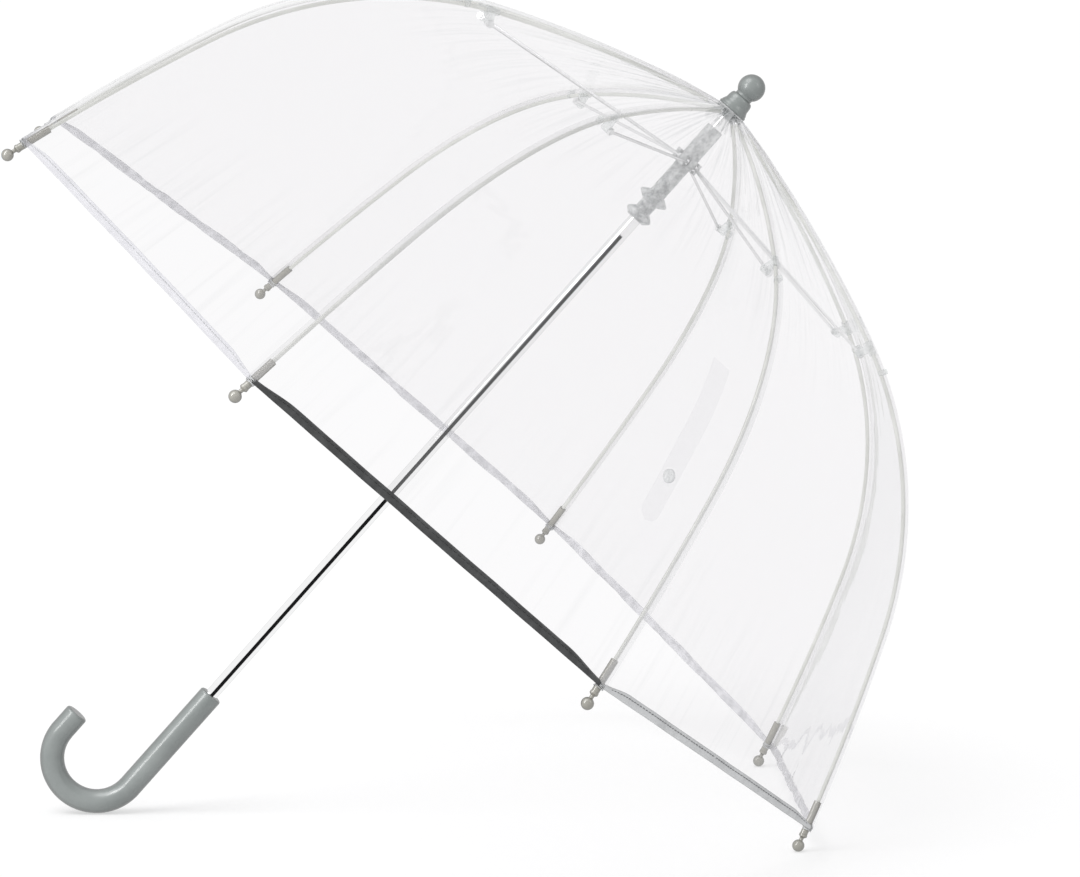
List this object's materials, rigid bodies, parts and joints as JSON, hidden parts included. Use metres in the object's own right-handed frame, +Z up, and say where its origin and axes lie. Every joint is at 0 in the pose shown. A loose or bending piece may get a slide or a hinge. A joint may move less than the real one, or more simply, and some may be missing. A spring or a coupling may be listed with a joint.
{
  "type": "bubble umbrella",
  "caption": "Clear dome umbrella with a crook handle, chrome shaft, sliding runner, hinged ribs and stretchers, and a seamed see-through canopy that folds.",
  "frame": {"origin": "on the floor under the centre of the open umbrella's bounding box, as it rests on its crook and two rib tips", "axes": "+Z up from the floor; the shaft lies in the XZ plane and rises towards +X; Y across"},
  "size_m": [0.542, 0.6358, 0.5157],
  "materials": {
    "handle_plastic": "satin pearl grey",
    "chrome": "polished",
    "spring_steel": "plain",
    "wire_steel": "bright drawn wire",
    "clear_plastic": "translucent, glossy",
    "fibreglass": "pale, slightly glossy",
    "tip_plastic": "glossy beige grey",
    "socket_plastic": "translucent, glossy",
    "film": "clear glossy film"
  },
  "bodies": {
    "frame": {"handle": "handle_plastic", "shaft": "chrome", "crown": "clear_plastic", "crown_wire": "wire_steel", "ferrule": "handle_plastic"},
    "runner": {"runner": "clear_plastic", "runner_wire": "wire_steel"},
    "catch": {"catch_spring": "spring_steel"},
    "upper_1": {"rib_upper_1": "fibreglass", "socket_1": "socket_plastic", "panel_1": "film"},
    "lower_1": {"rib_lower_1": "fibreglass", "tip_1": "tip_plastic"},
    "arm_1": {"stretcher_1": "wire_steel"},
    "upper_2": {"rib_upper_2": "fibreglass", "socket_2": "socket_plastic", "panel_2": "film"},
    "lower_2": {"rib_lower_2": "fibreglass", "tip_2": "tip_plastic", "strap": "film", "snap": "clear_plastic"},
    "arm_2": {"stretcher_2": "wire_steel"},
    "upper_3": {"rib_upper_3": "fibreglass", "socket_3": "socket_plastic", "panel_3": "film"},
    "lower_3": {"rib_lower_3": "fibreglass", "tip_3": "tip_plastic"},
    "arm_3": {"stretcher_3": "wire_steel"},
    "upper_4": {"rib_upper_4": "fibreglass", "socket_4": "socket_plastic", "panel_4": "film"},
    "lower_4": {"rib_lower_4": "fibreglass", "tip_4": "tip_plastic"},
    "arm_4": {"stretcher_4": "wire_steel"},
    "upper_5": {"rib_upper_5": "fibreglass", "socket_5": "socket_plastic", "panel_5": "film"},
    "lower_5": {"rib_lower_5": "fibreglass", "tip_5": "tip_plastic"},
    "arm_5": {"stretcher_5": "wire_steel"},
    "upper_6": {"rib_upper_6": "fibreglass", "socket_6": "socket_plastic", "panel_6": "film"},
    "lower_6": {"rib_lower_6": "fibreglass", "tip_6": "tip_plastic"},
    "arm_6": {"stretcher_6": "wire_steel"},
    "upper_7": {"rib_upper_7": "fibreglass", "socket_7": "socket_plastic", "panel_7": "film"},
    "lower_7": {"rib_lower_7": "fibreglass", "tip_7": "tip_plastic"},
    "arm_7": {"stretcher_7": "wire_steel"},
    "upper_8": {"rib_upper_8": "fibreglass", "socket_8": "socket_plastic", "panel_8": "film"},
    "lower_8": {"rib_lower_8": "fibreglass", "tip_8": "tip_plastic"},
    "arm_8": {"stretcher_8": "wire_steel"}
  },
  "joints": [
    {"name": "runner_slide", "type": "slide", "parent": "frame", "child": "runner", "axis": [0.6651, 0, 0.7467], "range_m": [-0.28436, 0]},
    {"name": "catch_press", "type": "slide", "parent": "frame", "child": "catch", "axis": [0, 1, 0], "range_m": [-0.0016, 0], "stiffness_N_per_m": 400, "springref_m": 0.001},
    {"name": "rib_1_hinge", "type": "hinge", "parent": "frame", "child": "upper_1", "pos_m": [0.17345, 0.00287, 0.43367], "axis": [-0.2858, 0.9239, 0.2545], "range_deg": [0, 65.86], "deforming": ["panel_1"]},
    {"name": "rib_1_flex", "type": "hinge", "parent": "upper_1", "child": "lower_1", "pos_m": [0.26791, 0.0917, 0.2173], "axis": [-0.2858, 0.9239, 0.2545], "range_deg": [-40.01, 0]},
    {"name": "stretcher_1_hinge", "type": "hinge", "parent": "runner", "child": "arm_1", "pos_m": [0.14657, 0.0061, 0.4055], "axis": [-0.2858, 0.9239, 0.2545], "range_deg": [-91.88, 0]},
    {"name": "rib_2_hinge", "type": "hinge", "parent": "frame", "child": "upper_2", "pos_m": [0.17042, 0.00693, 0.43637], "axis": [-0.6899, 0.3827, 0.6145], "range_deg": [0, 65.86], "deforming": ["panel_2"]},
    {"name": "rib_2_flex", "type": "hinge", "parent": "upper_2", "child": "lower_2", "pos_m": [0.17107, 0.22137, 0.30355], "axis": [-0.6899, 0.3827, 0.6145], "range_deg": [-40.01, 0], "deforming": ["strap", "snap"]},
    {"name": "stretcher_2_hinge", "type": "hinge", "parent": "runner", "child": "arm_2", "pos_m": [0.14212, 0.00827, 0.40946], "axis": [-0.6899, 0.3827, 0.6145], "range_deg": [-91.88, 0]},
    {"name": "rib_3_hinge", "type": "hinge", "parent": "frame", "child": "upper_3", "pos_m": [0.16613, 0.00693, 0.44019], "axis": [-0.6899, -0.3827, 0.6145], "range_deg": [0, 65.86], "deforming": ["panel_3"]},
    {"name": "rib_3_flex", "type": "hinge", "parent": "upper_3", "child": "lower_3", "pos_m": [0.03412, 0.22137, 0.42553], "axis": [-0.6899, -0.3827, 0.6145], "range_deg": [-40.01, 0]},
    {"name": "stretcher_3_hinge", "type": "hinge", "parent": "runner", "child": "arm_3", "pos_m": [0.13783, 0.00559, 0.41328], "axis": [-0.6899, -0.3827, 0.6145], "range_deg": [-91.88, 0]},
    {"name": "rib_4_hinge", "type": "hinge", "parent": "frame", "child": "upper_4", "pos_m": [0.1631, 0.00287, 0.44289], "axis": [-0.2858, -0.9239, 0.2545], "range_deg": [0, 65.86], "deforming": ["panel_4"]},
    {"name": "rib_4_flex", "type": "hinge", "parent": "upper_4", "child": "lower_4", "pos_m": [-0.06271, 0.0917, 0.51178], "axis": [-0.2858, -0.9239, 0.2545], "range_deg": [-40.01, 0]},
    {"name": "stretcher_4_hinge", "type": "hinge", "parent": "runner", "child": "arm_4", "pos_m": [0.13622, -0.00036, 0.41472], "axis": [-0.2858, -0.9239, 0.2545], "range_deg": [-91.88, 0]},
    {"name": "rib_5_hinge", "type": "hinge", "parent": "frame", "child": "upper_5", "pos_m": [0.1631, -0.00287, 0.44289], "axis": [0.2858, -0.9239, -0.2545], "range_deg": [0, 65.86], "deforming": ["panel_5"]},
    {"name": "rib_5_flex", "type": "hinge", "parent": "upper_5", "child": "lower_5", "pos_m": [-0.06271, -0.0917, 0.51178], "axis": [0.2858, -0.9239, -0.2545], "range_deg": [-40.01, 0]},
    {"name": "stretcher_5_hinge", "type": "hinge", "parent": "runner", "child": "arm_5", "pos_m": [0.13822, -0.0061, 0.41293], "axis": [0.2858, -0.9239, -0.2545], "range_deg": [-91.88, 0]},
    {"name": "rib_6_hinge", "type": "hinge", "parent": "frame", "child": "upper_6", "pos_m": [0.16613, -0.00693, 0.44019], "axis": [0.6899, -0.3827, -0.6145], "range_deg": [0, 65.86], "deforming": ["panel_6"]},
    {"name": "rib_6_flex", "type": "hinge", "parent": "upper_6", "child": "lower_6", "pos_m": [0.03412, -0.22137, 0.42553], "axis": [0.6899, -0.3827, -0.6145], "range_deg": [-40.01, 0]},
    {"name": "stretcher_6_hinge", "type": "hinge", "parent": "runner", "child": "arm_6", "pos_m": [0.14266, -0.00827, 0.40897], "axis": [0.6899, -0.3827, -0.6145], "range_deg": [-91.88, 0]},
    {"name": "rib_7_hinge", "type": "hinge", "parent": "frame", "child": "upper_7", "pos_m": [0.17042, -0.00693, 0.43637], "axis": [0.6899, 0.3827, -0.6145], "range_deg": [0, 65.86], "deforming": ["panel_7"]},
    {"name": "rib_7_flex", "type": "hinge", "parent": "upper_7", "child": "lower_7", "pos_m": [0.17107, -0.22137, 0.30355], "axis": [0.6899, 0.3827, -0.6145], "range_deg": [-40.01, 0]},
    {"name": "stretcher_7_hinge", "type": "hinge", "parent": "runner", "child": "arm_7", "pos_m": [0.14695, -0.00559, 0.40516], "axis": [0.6899, 0.3827, -0.6145], "range_deg": [-91.88, 0]},
    {"name": "rib_8_hinge", "type": "hinge", "parent": "frame", "child": "upper_8", "pos_m": [0.17345, -0.00287, 0.43367], "axis": [0.2858, 0.9239, -0.2545], "range_deg": [0, 65.86], "deforming": ["panel_8"]},
    {"name": "rib_8_flex", "type": "hinge", "parent": "upper_8", "child": "lower_8", "pos_m": [0.26791, -0.0917, 0.2173], "axis": [0.2858, 0.9239, -0.2545], "range_deg": [-40.01, 0]},
    {"name": "stretcher_8_hinge", "type": "hinge", "parent": "runner", "child": "arm_8", "pos_m": [0.14857, 0.00036, 0.40372], "axis": [0.2858, 0.9239, -0.2545], "range_deg": [-91.88, 0]}
  ],
  "couplings": [
    {"joint": "rib_1_hinge", "follows": "runner_slide", "rad_per_m": -4.0419},
    {"joint": "rib_1_flex", "follows": "runner_slide", "rad_per_m": 2.455},
    {"joint": "stretcher_1_hinge", "follows": "runner_slide", "rad_per_m": 5.6388},
    {"joint": "rib_2_hinge", "follows": "runner_slide", "rad_per_m": -4.0419},
    {"joint": "rib_2_flex", "follows": "runner_slide", "rad_per_m": 2.455},
    {"joint": "stretcher_2_hinge", "follows": "runner_slide", "rad_per_m": 5.6388},
    {"joint": "rib_3_hinge", "follows": "runner_slide", "rad_per_m": -4.0419},
    {"joint": "rib_3_flex", "follows": "runner_slide", "rad_per_m": 2.455},
    {"joint": "stretcher_3_hinge", "follows": "runner_slide", "rad_per_m": 5.6388},
    {"joint": "rib_4_hinge", "follows": "runner_slide", "rad_per_m": -4.0419},
    {"joint": "rib_4_flex", "follows": "runner_slide", "rad_per_m": 2.455},
    {"joint": "stretcher_4_hinge", "follows": "runner_slide", "rad_per_m": 5.6388},
    {"joint": "rib_5_hinge", "follows": "runner_slide", "rad_per_m": -4.0419},
    {"joint": "rib_5_flex", "follows": "runner_slide", "rad_per_m": 2.455},
    {"joint": "stretcher_5_hinge", "follows": "runner_slide", "rad_per_m": 5.6388},
    {"joint": "rib_6_hinge", "follows": "runner_slide", "rad_per_m": -4.0419},
    {"joint": "rib_6_flex", "follows": "runner_slide", "rad_per_m": 2.455},
    {"joint": "stretcher_6_hinge", "follows": "runner_slide", "rad_per_m": 5.6388},
    {"joint": "rib_7_hinge", "follows": "runner_slide", "rad_per_m": -4.0419},
    {"joint": "rib_7_flex", "follows": "runner_slide", "rad_per_m": 2.455},
    {"joint": "stretcher_7_hinge", "follows": "runner_slide", "rad_per_m": 5.6388},
    {"joint": "rib_8_hinge", "follows": "runner_slide", "rad_per_m": -4.0419},
    {"joint": "rib_8_flex", "follows": "runner_slide", "rad_per_m": 2.455},
    {"joint": "stretcher_8_hinge", "follows": "runner_slide", "rad_per_m": 5.6388}
  ]
}
